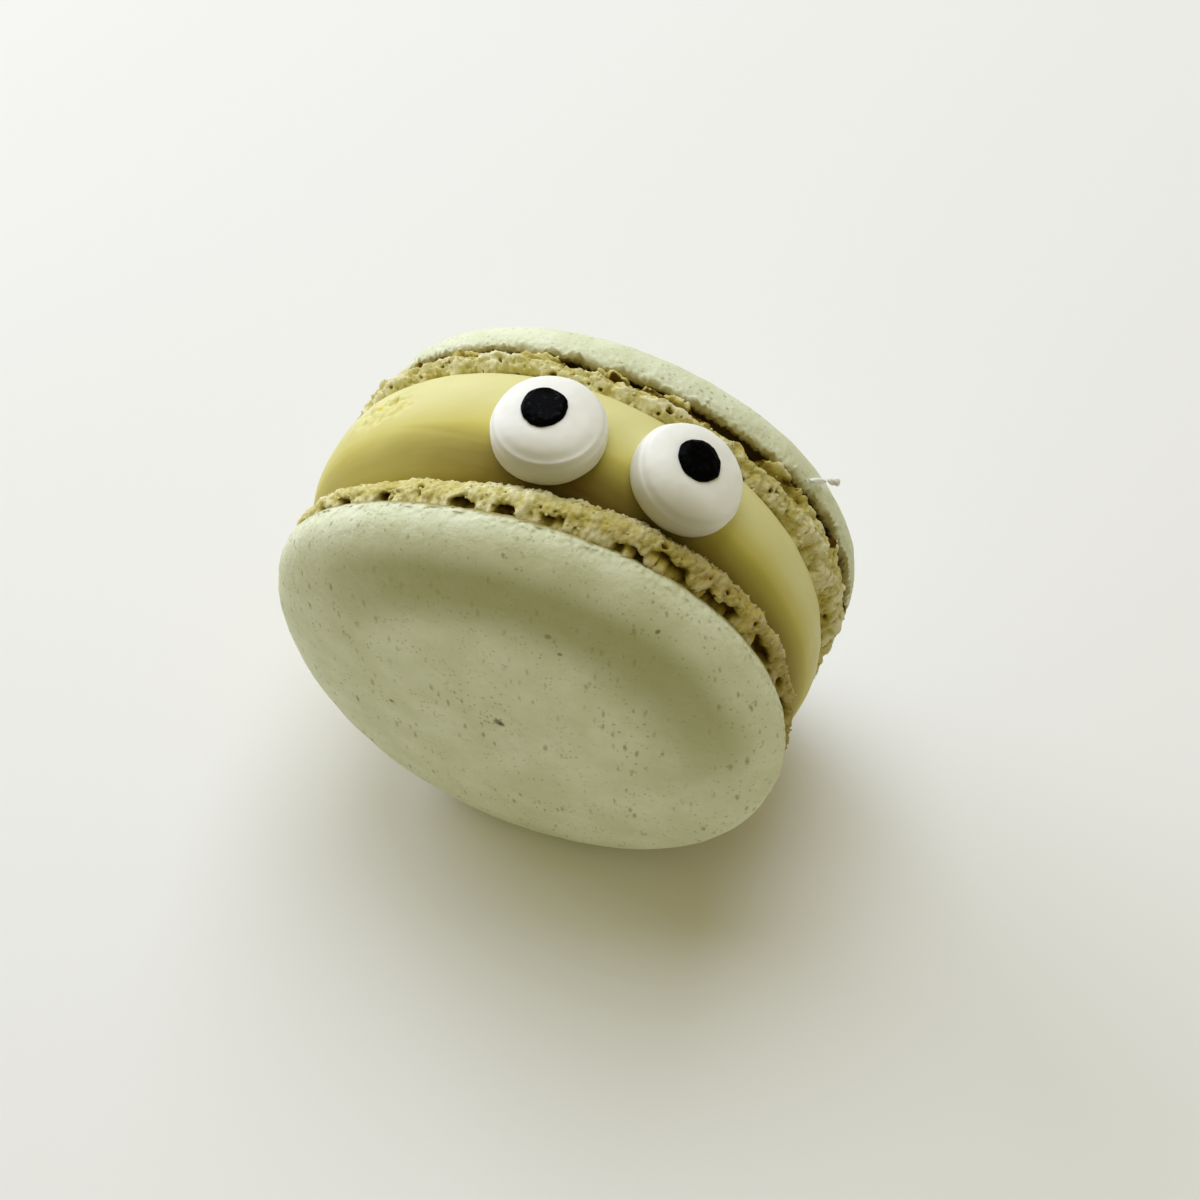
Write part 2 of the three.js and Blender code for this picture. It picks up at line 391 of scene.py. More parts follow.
# A new material, its tree, its shader and the object's own coordinates in mm.
def newFinish(name):
    material = bpy.data.materials.new(name)
    material.use_nodes = True
    tree = material.node_tree
    tree.nodes.clear()
    shader = addNode(tree, "BsdfPrincipled", 0, 400)
    output = addNode(tree, "OutputMaterial", 300, 400)
    tree.links.new(shader.outputs[0], output.inputs[0])
    coords = addNode(tree, "TexCoord", 0, 0)
    place = mapPlace(tree, coords.outputs["Object"], (1000, 1000, 1000))
    return material, tree, shader, place


def nextSpot(tree):
    return 200 * len(tree.nodes)


def plug(tree, value, socket):
    if isinstance(value, bpy.types.NodeSocket):
        tree.links.new(value, socket)
    else:
        socket.default_value = value


def mapPlace(tree, vector, scale, turn=(0, 0, 0), move=(0, 0, 0)):
    node = addNode(tree, "Mapping", nextSpot(tree), 0)
    node.inputs["Scale"].default_value = scale
    node.inputs["Rotation"].default_value = turn
    node.inputs["Location"].default_value = move
    tree.links.new(vector, node.inputs["Vector"])
    return node.outputs[0]


def placeGroup(tree, group, vector, **values):
    node = addNode(tree, "Group", nextSpot(tree), -200)
    node.node_tree = group
    for key, value in values.items():
        node.inputs[key].default_value = value
    tree.links.new(vector, node.inputs["Vector"])
    return node.outputs[0]


def readValue(tree, name):
    node = addNode(tree, "Attribute", nextSpot(tree), -500)
    node.attribute_name = name
    return node.outputs["Fac"]


def times(tree, first, second):
    node = addNode(tree, "Math", nextSpot(tree), -300)
    node.operation = "MULTIPLY"
    plug(tree, first, node.inputs[0])
    plug(tree, second, node.inputs[1])
    return node.outputs[0]


def mixTone(tree, factor, first, second, share=1.0):
    node = addNode(tree, "Mix", nextSpot(tree), 0)
    node.data_type = "RGBA"
    plug(tree, times(tree, factor, share) if share != 1.0 else factor, node.inputs[0])
    plug(tree, first, node.inputs[6])
    plug(tree, second, node.inputs[7])
    return node.outputs[2]


def remap(tree, value, low, high, toLow=0.0, toHigh=1.0):
    node = addNode(tree, "MapRange", nextSpot(tree), -300)
    plug(tree, value, node.inputs["Value"])
    for label, limit in (("From Min", low), ("From Max", high), ("To Min", toLow), ("To Max", toHigh)):
        node.inputs[label].default_value = limit
    return node.outputs[0]


# 1 within about half of radius from centre, in mm, falling to 0 at radius.
def nearSpot(tree, place, centre, radius):
    away = addNode(tree, "VectorMath", nextSpot(tree), -600)
    away.operation = "DISTANCE"
    tree.links.new(place, away.inputs[0])
    away.inputs[1].default_value = centre
    return remap(tree, away.outputs["Value"], radius, radius * 0.45)


def bumpFrom(tree, height, strength, distance, after=None):
    node = addNode(tree, "Bump", nextSpot(tree), -400)
    node.inputs["Strength"].default_value = strength
    node.inputs["Distance"].default_value = distance
    tree.links.new(height, node.inputs["Height"])
    if after is not None:
        tree.links.new(after, node.inputs["Normal"])
    return node.outputs[0]


# A colour chosen as 0 to 255 on screen, as the linear values that sockets take.
def colour(red, green, blue):
    linear = [c / 12.92 if c <= 0.04045 else ((c + 0.055) / 1.055) ** 2.4
              for c in (red / 255, green / 255, blue / 255)]
    return (*linear, 1)


capLook = {
    "pale": colour(229, 233, 206),
    "olive": colour(216, 220, 186),
    "fineSpeck": colour(132, 130, 82),
    "streak": colour(124, 118, 66),
    "mark": colour(96, 82, 46),
    # partly the crust edge's own darker olive, partly painted shade under the lip
    "lipEdgeAndShade": colour(150, 136, 62),
    # painted shade colour for the darker ring on the front cap's face
    "paintedShade": colour(160, 157, 98),
    # painted shade colour for the cap's underside by its lip
    "hollow": colour(96, 66, 14),
    "roughness": 0.72,
    "specular": 0.35,
    "broad": {"Patch": 5.0, "Detail": 3.0, "Contrast": 0.16},       # patches in mm
    "cloudy": {"Patch": 0.9, "Detail": 2.0, "Contrast": 0.25},
    "specks": {"Spacing": 0.42, "Size": 0.5, "Amount": 0.55, "Ragged": 0.25},
    "crowding": {"Patch": 6.0, "Detail": 1.0, "Contrast": 0.2},     # where specks lie thicker
    "fewest": 0.45,
    "streaks": {"Spacing": 0.62, "Size": 0.44, "Amount": 0.5, "Ragged": 0.3},
    "streakStretch": 0.35,
    "streakTurn": -52,      # degrees
    "dots": {"Spacing": 2.4, "Size": 0.09, "Amount": 0.25, "Ragged": 0.1},
    "grain": {"Bump": 0.22, "Pores": 0.35},
    "dents": {"Patch": 0.7, "Detail": 2.0, "Contrast": 0.4},
}


def makeShellFinish(name, marks=()):
    look = capLook
    material, tree, shader, place = newFinish(name)
    broad = placeGroup(tree, mottle, place, **look["broad"])
    tone = mixTone(tree, broad, look["pale"], look["olive"])
    cloudy = placeGroup(tree, mottle, place, **look["cloudy"])
    tone = mixTone(tree, cloudy, tone, look["olive"], 0.35)
    specks = placeGroup(tree, speckle, place, **look["specks"])
    thick = remap(tree, placeGroup(tree, mottle, place, **look["crowding"]), 0, 1, look["fewest"], 1)
    tone = mixTone(tree, times(tree, specks, thick), tone, look["fineSpeck"], 0.75)
    slant = (0, math.radians(look["streakTurn"]), 0)
    slanted = mapPlace(tree, place, (1.0, 1.0, look["streakStretch"]), slant)
    streaks = placeGroup(tree, speckle, slanted, **look["streaks"])
    tone = mixTone(tree, times(tree, streaks, thick), tone, look["streak"], 0.9)
    dots = placeGroup(tree, speckle, place, **look["dots"])
    tone = mixTone(tree, dots, tone, look["mark"], 0.6)
    flat = mapPlace(tree, place, (1, 0, 1))
    for x, up, radius in marks:
        centre = (middle.x / mm + x, 0, middle.z / mm + up)
        tone = mixTone(tree, nearSpot(tree, flat, centre, radius), tone, look["mark"], 0.75)
    # painted shade: the darker ring on the front cap's face
    tone = mixTone(tree, readValue(tree, "shade"), tone, look["paintedShade"], 0.7)
    # darker olive at the lip: the crust edge's own colour and painted shade on its underside
    tone = mixTone(tree, readValue(tree, "edge"), tone, look["lipEdgeAndShade"], 0.9)
    # painted shade on the cap's underside by its lip
    tone = mixTone(tree, readValue(tree, "hollow"), tone, look["hollow"], 0.95)
    plug(tree, tone, shader.inputs["Base Color"])
    rough = remap(tree, cloudy, 0, 1, look["roughness"], look["roughness"] + 0.12)
    plug(tree, rough, shader.inputs["Roughness"])
    shader.inputs["Specular IOR Level"].default_value = look["specular"]
    fine = placeGroup(tree, grain, place, **look["grain"])
    dents = placeGroup(tree, mottle, place, **look["dents"])
    low = bumpFrom(tree, dents, 0.4, 0.00015)
    plug(tree, bumpFrom(tree, fine, 0.5, 0.00006, low), shader.inputs["Normal"])
    return material


footLook = {
    # painted highlight colour for the foam's proud lumps
    "light": colour(246, 242, 206),
    "crumb": colour(228, 222, 164),
    "deep": colour(190, 174, 78),
    # painted shade colour for the foam's pits, caves and the band under the crust
    "hollow": colour(78, 50, 2),
    # painted shade colour for the foot's side towards +X
    "paintedShade": colour(150, 126, 58),
    "roughness": 0.85,
    "specular": 0.06,
    "patches": {"Patch": 1.4, "Detail": 3.0, "Contrast": 0.2},
    "fine": {"Patch": 0.25, "Detail": 2.0, "Contrast": 0.25},
    "grain": {"Bump": 0.16, "Pores": 0.8},
}


def makeFootFinish(name):
    look = footLook
    material, tree, shader, place = newFinish(name)
    patches = placeGroup(tree, mottle, place, **look["patches"])
    tone = mixTone(tree, patches, look["crumb"], look["deep"], 0.5)
    fine = placeGroup(tree, mottle, place, **look["fine"])
    tone = mixTone(tree, fine, tone, look["deep"], 0.35)
    # painted highlight: the foam's proud lumps are coloured paler
    tone = mixTone(tree, readValue(tree, "proud"), tone, look["light"], 0.8)
    # painted shade on the foot's side towards +X
    tone = mixTone(tree, readValue(tree, "shade"), tone, look["paintedShade"], 0.6)
    # painted shade in the foam's hollows and under the crust
    hollow = readValue(tree, "hollow")
    tone = mixTone(tree, remap(tree, hollow, 0.05, 0.5), tone, look["deep"], 0.95)
    tone = mixTone(tree, remap(tree, hollow, 0.35, 0.9), tone, look["hollow"], 0.97)
    plug(tree, tone, shader.inputs["Base Color"])
    shader.inputs["Roughness"].default_value = look["roughness"]
    shader.inputs["Specular IOR Level"].default_value = look["specular"]
    crumb = placeGroup(tree, grain, place, **look["grain"])
    plug(tree, bumpFrom(tree, crumb, 0.6, 0.0001), shader.inputs["Normal"])
    return material


creamLook = {
    "light": colour(221, 216, 156),
    "deep": colour(210, 202, 126),
    # painted shade: middle and shaded step the cream darker towards the front foot
    "middle": colour(200, 188, 76),
    "shaded": colour(98, 70, 0),
    "pit": colour(220, 208, 84),
    "smear": colour(232, 226, 150),
    "roughness": 0.52,
    "specular": 0.18,
    "subsurface": 0.25,
    "glowRadius": (1.0, 0.75, 0.2),
    "glowScale": 0.0012,
    "broad": {"Patch": 6.0, "Detail": 2.0, "Contrast": 0.2},
    "streaks": {"Patch": 0.8, "Detail": 3.0, "Contrast": 0.25},
    "streakStretch": (0.16, 1.3, 0.16),
    "grain": {"Bump": 0.35, "Pores": 0.1},
}


def makeCreamFinish():
    look = creamLook
    material, tree, shader, place = newFinish("creamFilling")
    broad = placeGroup(tree, mottle, place, **look["broad"])
    tone = mixTone(tree, broad, look["light"], look["deep"], 0.4)
    thin = readValue(tree, "thin")
    # painted shade, darker towards the front foot and towards +X
    tone = mixTone(tree, remap(tree, thin, 0, 0.5), tone, look["middle"], 0.85)
    tone = mixTone(tree, remap(tree, thin, 0.4, 1.0), tone, look["shaded"], 0.92)
    spread = mapPlace(tree, place, look["streakStretch"])
    streaks = placeGroup(tree, mottle, spread, **look["streaks"])
    tone = mixTone(tree, streaks, tone, look["deep"], 0.08)
    smear = readValue(tree, "smear")
    tone = mixTone(tree, remap(tree, smear, 0, 1), tone, look["smear"], 0.4)
    tone = mixTone(tree, remap(tree, smear, 1, 2), tone, look["pit"], 0.8)
    plug(tree, tone, shader.inputs["Base Color"])
    rough = remap(tree, streaks, 0, 1, look["roughness"] - 0.06, look["roughness"] + 0.08)
    plug(tree, rough, shader.inputs["Roughness"])
    shader.inputs["Specular IOR Level"].default_value = look["specular"]
    shader.inputs["Subsurface Weight"].default_value = look["subsurface"]
    shader.inputs["Subsurface Radius"].default_value = look["glowRadius"]
    shader.inputs["Subsurface Scale"].default_value = look["glowScale"]
    fine = placeGroup(tree, grain, place, **look["grain"])
    low = bumpFrom(tree, streaks, 0.03, 0.0001)
    plug(tree, bumpFrom(tree, fine, 0.1, 0.00005, low), shader.inputs["Normal"])
    return material


icingLook = {
    "white": colour(243, 243, 239),
    "shade": colour(234, 233, 226),
    # painted shade colour for the disc's side towards the front shell
    "under": colour(178, 172, 146),
    "black": colour(2, 2, 3),
    "blackDry": colour(4, 4, 5),
    "whiteBroad": {"Patch": 1.8, "Detail": 3.0, "Contrast": 0.2},
    "whiteGrain": {"Bump": 0.2, "Pores": 0.3},
    "whiteRoughness": (0.42, 0.55),
    "subsurface": 0.15,
    "glowRadius": (1.0, 0.95, 0.85),
    "glowScale": 0.0006,
    "blackBroad": {"Patch": 0.5, "Detail": 4.0, "Contrast": 0.2},
    "blackGrain": {"Bump": 0.35, "Pores": 0.2},
    "blackRoughness": (0.22, 0.38),
    "blackSpecular": 0.02,
    "blackCoat": 0.1,
    "coatRoughness": 0.12,
}


def makeWhiteIcing(name):
    look = icingLook
    material, tree, shader, place = newFinish(name)
    broad = placeGroup(tree, mottle, place, **look["whiteBroad"])
    tone = mixTone(tree, broad, look["white"], look["shade"], 0.5)
    # painted shade on the disc's side towards the front shell
    tone = mixTone(tree, readValue(tree, "under"), tone, look["under"], 0.8)
    plug(tree, tone, shader.inputs["Base Color"])
    plug(tree, remap(tree, broad, 0, 1, *look["whiteRoughness"]), shader.inputs["Roughness"])
    shader.inputs["Subsurface Weight"].default_value = look["subsurface"]
    shader.inputs["Subsurface Radius"].default_value = look["glowRadius"]
    shader.inputs["Subsurface Scale"].default_value = look["glowScale"]
    fine = placeGroup(tree, grain, place, **look["whiteGrain"])
    plug(tree, bumpFrom(tree, fine, 0.12, 0.00004), shader.inputs["Normal"])
    return material


def makeBlackIcing():
    look = icingLook
    material, tree, shader, place = newFinish("eyeBlackIcing")
    broad = placeGroup(tree, mottle, place, **look["blackBroad"])
    plug(tree, mixTone(tree, broad, look["black"], look["blackDry"]), shader.inputs["Base Color"])
    plug(tree, remap(tree, broad, 0, 1, *look["blackRoughness"]), shader.inputs["Roughness"])
    shader.inputs["Specular IOR Level"].default_value = look["blackSpecular"]
    shader.inputs["Coat Roughness"].default_value = look["coatRoughness"]
    plug(tree, remap(tree, broad, 0.75, 1.0, 0.0, look["blackCoat"]), shader.inputs["Coat Weight"])
    fine = placeGroup(tree, grain, place, **look["blackGrain"])
    plug(tree, bumpFrom(tree, fine, 0.6, 0.00008), shader.inputs["Normal"])
    return material


capShape = {
    "columns": 240,
    "domeRings": 12,
    "levels": 2,
    "underside": [(0, -0.5), (0.05, -0.8), (0.35, -1.5), (0.5, -3.2), (0.5, -8)],
    "toothSize": 0.4,       # mm between the crust's little teeth
    "wideTooth": 1.5,
    "toothDepth": 0.28,
    "swellSize": 3.1,       # mm between the soft swells of the dome
    "smallSwell": 1.2,
    "ripple": 0.06,         # how high the swells are
}


def capProfile(shell):
    rim, radius, drop = shell["rimDepth"], shell["capRadius"], shell["lipDrop"]
    lip = lipDepth(shell)
    points = []
    for ring in range(capShape["domeRings"]):
        climb = math.pi / 2 * (1 - ring / (capShape["domeRings"] - 1))
        reach = max(0.02, math.cos(climb) ** (2 / shell["squareness"]) if ring else 0.02)
        rise = shell["domeHeight"] * math.sin(climb) ** (2 / shell["roundness"])
        crown = shell["crown"] * (1 - reach * reach) ** 2
        points.append((rim + rise + crown, radius * reach))
    points.append((rim - 0.5 * drop, radius - 0.05))
    points.append((rim - 0.85 * drop, radius - 0.28))
    points += [(lip + rise, radius + step) for rise, step in capShape["underside"]]
    points.append((lip + 0.5, 2))
    return points


def makeCap(name, node, shell, material, seed):
    cap = turnDisc(name, capShape["columns"], capProfile(shell))
    subdivide(cap, capShape["levels"])
    lip = lipDepth(shell)
    edge = []
    shade = []
    hollow = []
    drift = Vector((seed * 17.3, seed * 5.1, seed * 9.7))

    def place(point, normal):
        x, up, depth = point
        radius = math.hypot(x, up)
        # the crust's lower edge is finely toothed where it tore from the foot
        atRim = smooth(shell["capRadius"] - 1.4, shell["capRadius"] - 0.7, radius)
        atLip = math.exp(-((depth - lip - 0.5) / 1.0) ** 2) * atRim
        tooth = noise.noise(point / capShape["toothSize"] + drift)
        tooth += 0.8 * noise.noise(point / capShape["wideTooth"] + drift)
        tooth *= atLip * capShape["toothDepth"]
        swell = noise.noise(point / capShape["swellSize"] + drift)
        swell += 0.5 * noise.noise(point / capShape["smallSwell"] + drift)
        swell *= capShape["ripple"]
        # the lip band: partly the crust edge's colour, partly painted shade on the lip's underside
        nearLip = smooth(0.75, 0.25, depth - lip)
        edge.append(nearLip * smooth(shell["capRadius"] - 4, shell["capRadius"] - 1.5, radius))
        # painted shade: the underside is coloured dark brown where the foam has torn away from it and
        # left it in shade
        hollow.append(nearLip * smooth(shell["capRadius"] - 0.6, shell["capRadius"] - 1.0, radius))
        reach = radius / shell["capRadius"]
        ring = smooth(0.5, 0.76, reach) * smooth(0.96, 0.84, reach)
        # painted shade: a darker ring across the upper right of the cap's face, turned away from the
        # lamps
        shade.append(ring * smooth(-8, 12, up) * smooth(-24, -4, x) * shell["paintedShade"])
        grow = 1 + (0.8 * tooth + swell) / max(radius, 5)
        depth += tooth + swell * smooth(2, 12, depth - lip + 3)
        return unevenPoint(shell, x * grow, up * grow, depth, False)

    reshape(cap, place)
    setValues(cap, edge=edge, hollow=hollow, shade=shade)
    faceOutwards(cap)
    finishPiece(cap, node, material)


footShape = {
    "columns": 280,
    "levels": 2,
    "lumpSize": 1.3,        # mm between the foam's lumps
    "frothSize": 0.42,
    "raggedSize": 2.8,
    "gritSize": 0.3,
    "pitKinds": [(1.3, 0.24, 0.0), (0.75, 0.26, 31.7)],     # spacing, radius in spacings, and shift
    # lump to pit and cavity to groove are mm of relief; caveAt is a share of the foot's height
    "front": {"lump": 0.26, "froth": 0.25, "ragged": 0.3, "grit": 0.11, "pit": 0.5, "pitAmount": 0.45,
              "cavity": 0.9, "cavityFrom": 0.06, "caveAt": 0.9, "lipFill": 0.4, "groove": 0.0,
              "paintedShade": 1.0},
    "rear": {"lump": 0.4, "froth": 0.26, "ragged": 0.5, "grit": 0.11, "pit": 0.6, "pitAmount": 0.45,
             "cavity": 1.5, "cavityFrom": -0.16, "caveAt": 0.86, "lipFill": 0.1, "groove": 2.1,
             "paintedShade": 0.25},
    "crumbs": 260,
    "crumbSize": (0.08, 0.2),
    "crumbRoughness": 0.45,
    "crumbLift": 0.03,
}


# The distance to the nearest bubble's middle, in cells, and that bubble's own luck, 0 to 1.
def nearBubble(spot, size):
    distances, points = noise.voronoi(spot / size)
    return distances[0], 0.5 + 0.5 * noise.cell(points[0] * 17.13)


# How far the baked foam stands out at one spot, in mm, and how hollow it is there, 0 to 1, which sets
# how much painted shade it gets.
def foamRelief(spot, way):
    wobble = noise.noise_vector(spot / 0.7) * 0.25 + noise.noise_vector(spot / 0.3) * 0.1
    near, luck = nearBubble(spot + wobble, footShape["lumpSize"])
    lump = way["lump"] * (0.4 + 0.6 * luck - 1.1 * near * near)
    near, luck = nearBubble(spot + wobble * 0.6, footShape["frothSize"])
    lump += way["froth"] * (0.3 + 0.4 * luck - 1.1 * near * near)
    lump += way["ragged"] * (noise.noise(spot / footShape["raggedSize"]) + 0.5 * noise.noise(spot / 1.1))
    lump += way["grit"] * (noise.noise(spot / footShape["gritSize"]) + 0.7 * noise.noise(spot / 0.17))
    # darker patches at random; the pits below add their painted shade
    hollow = 0.35 * smooth(-0.05, -0.4, noise.noise(spot / 0.6))
    for size, radius, shift in footShape["pitKinds"]:
        near, luck = nearBubble(spot + wobble * 0.6 + Vector((shift, shift, shift)), size)
        if luck < way["pitAmount"]:
            wide = radius * (0.5 + luck / way["pitAmount"])
            inside = smooth(wide, wide * 0.4, near)
            lump -= way["pit"] * size / footShape["lumpSize"] * inside
            hollow = max(hollow, inside)
    return lump, hollow


# Painted shade: the foam is coloured darker towards +X, the side turned from the lamps.
def footShade(way, x):
    return way["paintedShade"] * smooth(-2, 17, x)


def makeFoot(name, node, shell, material, way, seed):
    base, lip, full = shell["baseDepth"], lipDepth(shell), shell["footRadius"]
    profile = [(lip + 0.35, full - 4.2)]
    profile += [(base + share * (lip - base), full + step) for share, step in shell["footRings"]]
    profile += [(base, full - 4.2), (0.5 * (base + lip), full - 4.6)]
    foot = turnDisc(name, footShape["columns"], profile, closedRing=True)
    subdivide(foot, footShape["levels"])
    faceOutwards(foot)
    drift = Vector((seed * 11.9, seed * 3.7, seed * 7.1))
    hollows = []
    proud = []
    shade = []

    def place(point, normal):
        x, up, depth = point
        radius = math.hypot(x, up)
        share = (depth - base) / (lip - base)
        outside = smooth(full - 3.2, full - 2.2, radius)
        lump, hollow = foamRelief(Vector((x, up, depth * 1.2)) + drift, way)
        # under the crust the foam has pulled away in places and left caves, coloured dark as painted
        # shade
        pulled = noise.noise(Vector((x / 2.4, up / 2.4, seed * 2.0)))
        pulled += 0.5 * noise.noise(point / 0.8 + drift)
        pulled = smooth(way["cavityFrom"], way["cavityFrom"] + 0.3, pulled)
        caveAt = way["caveAt"] + 0.16 * noise.noise(point / 1.6 - drift)
        cave = pulled * math.exp(-((share - caveAt) / 0.11) ** 2)
        filled = (1 - pulled) * math.exp(-((share - 0.93) / 0.12) ** 2)
        lump += way["lipFill"] * filled - way["cavity"] * cave
        # and a torn groove, where the shell has one, runs along the top half beside the crust
        torn = noise.noise(point / 2.6 + drift)
        sunk = max(0.0, 0.45 + 1.5 * torn)
        lump -= way["groove"] * sunk * smooth(0.35, 0.7, share) * smooth(4, 18, up)
        low = smooth(0.12, -0.4, lump)
        # painted shade: pits, caves, sunken spots and the band under the crust are coloured darker
        hollow = max(hollow, cave, 0.8 * smooth(0.93, 1.05, share), 0.6 * low)
        shut = smooth(0.62, 0.8, share) * smooth(-0.3, 0.05, torn)
        hollow = max(hollow, min(1.0, way["groove"] * shut))
        # painted shade, darker towards +X
        shade.append(footShade(way, x) * outside)
        # painted highlight on the lumps that stand out
        proud.append(smooth(0.1, 0.45, lump))
        step = normal * (lump * outside)
        grow = 1 + (step.x * x + step.y * up) / max(1e-6, radius * radius)
        hollows.append(min(1.0, hollow) * outside)
        return unevenPoint(shell, x * grow, up * grow, depth + step.z, True)

    reshape(foot, place)
    setValues(foot, hollow=hollows, proud=proud, shade=shade)
    faceOutwards(foot)
    finishPiece(foot, node, material)
    return foot


# Loose-looking crumbs baked onto a foot: one lumpy grain, copied and half sunk into the foam.
def makeCrumbs(name, node, shell, foot, material, way, seed):
    dice = random.Random(seed)
    centre = Vector((middle.x, middle.z)) + Vector(shell["footCentre"]) * mm
    least = (shell["footRadius"] - 0.9) * mm
    outer = [vertex for vertex in foot.data.vertices
             if (vertex.co.xz - centre).length > least and vertex.co.z > 1.5 * mm]
    deselectAll()
    bpy.ops.mesh.primitive_ico_sphere_add(subdivisions=2, radius=1 * mm)
    grainPiece = bpy.context.object
    for vertex in grainPiece.data.vertices:
        vertex.co *= 1 + footShape["crumbRoughness"] * noise.noise(vertex.co / mm * 1.6)
    pieces = []
    for vertex in dice.sample(outer, footShape["crumbs"]):
        size = dice.uniform(*footShape["crumbSize"]) * dice.uniform(0.6, 1.0)
        squash = Matrix.Diagonal((size * dice.uniform(0.7, 1.3), size, size * dice.uniform(0.6, 1.1), 1))
        angle = dice.uniform(0, 6.28)
        turn = Matrix.Rotation(angle, 4, Vector((dice.random(), dice.random(), dice.random())))
        sit = Matrix.Translation(vertex.co + vertex.normal * footShape["crumbLift"] * mm)
        crumb = grainPiece.copy()
        crumb.data = grainPiece.data.copy()
        crumb.data.transform(sit @ turn @ squash)
        bpy.context.scene.collection.objects.link(crumb)
        pieces.append(crumb)
    bpy.data.objects.remove(grainPiece)
    crumbs = joinPieces(pieces, name)
    # the crumbs get the same painted shade as their foot
    shade = [footShade(way, (vertex.co.x - middle.x) / mm) for vertex in crumbs.data.vertices]
    setValues(crumbs, hollow=[0.0] * len(shade), proud=[0.5] * len(shade), shade=shade)
    faceOutwards(crumbs)
    finishPiece(crumbs, node, material)


creamShape = {
    "columns": 192,
    "rings": 20,
    "levels": 2,
    "tuck": 0.5,            # how far the cream reaches into each foot's base
    "smearTurn": 133,       # degrees round the cream
    "smearDepth": -0.4,
    "smearSize": (4.2, 1.7),
    "ridgeFrom": (124, -3.4),   # turn in degrees, depth in mm
    "ridgeTo": (147, 1.4),
    "lineFrom": (130, 2.2),
    "lineTo": (100, 3.7),
    "pits": [(134.6, -1.2, 0.45), (130.4, -1.35, 0.3)],     # turn, depth and size
    "swell": 0.14,          # heights in mm
    "smallSwell": 0.05,
    "smearRelief": 0.3,
    "smearSunk": 0.08,
    "ridgeHeight": 0.16,
    "lineSunk": 0.05,
    "pitSunk": 0.28,
    # painted shade on the cream, darker towards the front foot:
    "darkFrom": -1.6,       # the tone deepens between these depths
    "darkTo": 5.4,
    "darkLeast": 0.62,      # and less so towards -X
}


def alongCream(turn, depth, place):
    return Vector((math.radians(turn - place[0]) * cream["radius"], depth - place[1]))


# The distance in mm from a spot on the cream to a stroke between two places on it, and how
# near it is to the stroke's middle, 0 to 1.
def strokeDistance(turn, depth, start, end):
    spot = alongCream(turn, depth, start)
    stroke = alongCream(end[0], end[1], start)
    share = min(1.0, max(0.0, spot.dot(stroke) / stroke.length_squared))
    return (spot - stroke * share).length, math.sin(math.pi * share)


# How far the cream stands out at one spot, in mm, and how smeared it is: 1 is smeared, 2 a pit.
def creamRelief(turn, depth, spot):
    shape = creamShape
    out = shape["swell"] * noise.noise(spot / 6.0) + shape["smallSwell"] * noise.noise(spot / 2.2)
    spread = Vector((math.radians(turn) * 3.0, depth * 1.1, 4.0))
    out += 0.014 * noise.noise(spread * 1.6) + 0.005 * noise.noise(spread * 4.5)
    away = alongCream(turn, depth, (shape["smearTurn"], shape["smearDepth"]))
    reach = math.hypot(away.x / shape["smearSize"][0], away.y / shape["smearSize"][1])
    smear = smooth(1.15, 0.6, reach + 0.3 * noise.noise(spot / 0.9))
    rough = noise.noise(spot / 0.75) + 0.6 * noise.noise(spot / 0.33)
    out += smear * (shape["smearRelief"] * rough - shape["smearSunk"])
    near, along = strokeDistance(turn, depth, shape["ridgeFrom"], shape["ridgeTo"])
    out += shape["ridgeHeight"] * math.exp(-(near / 0.55) ** 2) * along
    near, along = strokeDistance(turn, depth, shape["lineFrom"], shape["lineTo"])
    out -= shape["lineSunk"] * math.exp(-(near / 0.25) ** 2) * along
    for pitTurn, pitDepth, size in shape["pits"]:
        near = alongCream(turn, depth, (pitTurn, pitDepth)).length
        out -= shape["pitSunk"] * smooth(size * 1.3, size * 0.5, near)
        smear += smooth(size * 1.5, size * 0.6, near)
    return out, smear


def makeCream(material):
    shape, rings = creamShape, creamShape["rings"]
    profile = [(-1, 2), (-1, 12), (-1, 19)]
    profile += [(-1 + 2 * ring / rings, cream["radius"]) for ring in range(rings + 1)]
    profile += [(1, 19), (1, 12), (1, 2)]
    filling = turnDisc("filling_cream", shape["columns"], profile)
    subdivide(filling, shape["levels"])
    smears = []
    thin = []

    def place(point, normal):
        x, up, side = point
        radius = math.hypot(x, up)
        turn = math.atan2(up, x)
        across = min(radius, cream["radius"] - cream["edgeDrop"])
        sideways, higher = cream["centre"]
        under = (across * math.cos(turn) + sideways, across * math.sin(turn) + higher)
        widest = cream["widestDepth"]
        if side > 0:
            face = baseDepthAt(frontShell, *under) - seatGap
            depth = widest + side * (face - widest)
            reach = side
        else:
            face = seatGap - baseDepthAt(rearShell, *under)
            depth = widest - side * (face - widest)
            reach = (widest - depth) / cream["halfBulge"]
        atFace = smooth(0.93, 1.0, abs(side))
        depth += math.copysign(1, side) * atFace * shape["tuck"]
        drop = cream["edgeDrop"] * abs(reach) ** cream["roundness"]
        out = radius - drop * smooth(10, cream["radius"], radius)
        spot = Vector((out * math.cos(turn), out * math.sin(turn), depth))
        relief, smear = creamRelief(math.degrees(turn) % 360, depth, spot)
        out += relief * smooth(cream["radius"] - 5, cream["radius"] - 3, radius) * (1 - atFace)
        smears.append(smear)
        # painted shade: darker towards the front foot, less so towards -X
        least = shape["darkLeast"]
        dark = smooth(shape["darkFrom"], shape["darkTo"], depth)
        thin.append(dark * (least + (1 - least) * smooth(-22, 6, x)))
        return Vector((
            middle.x + (out * math.cos(turn) + sideways) * mm,
            middle.y - depth * mm,
            middle.z + (out * math.sin(turn) + higher) * mm,
        ))

    reshape(filling, place)
    setValues(filling, smear=smears, thin=thin)
    faceOutwards(filling)
    finishPiece(filling, "filling", material)


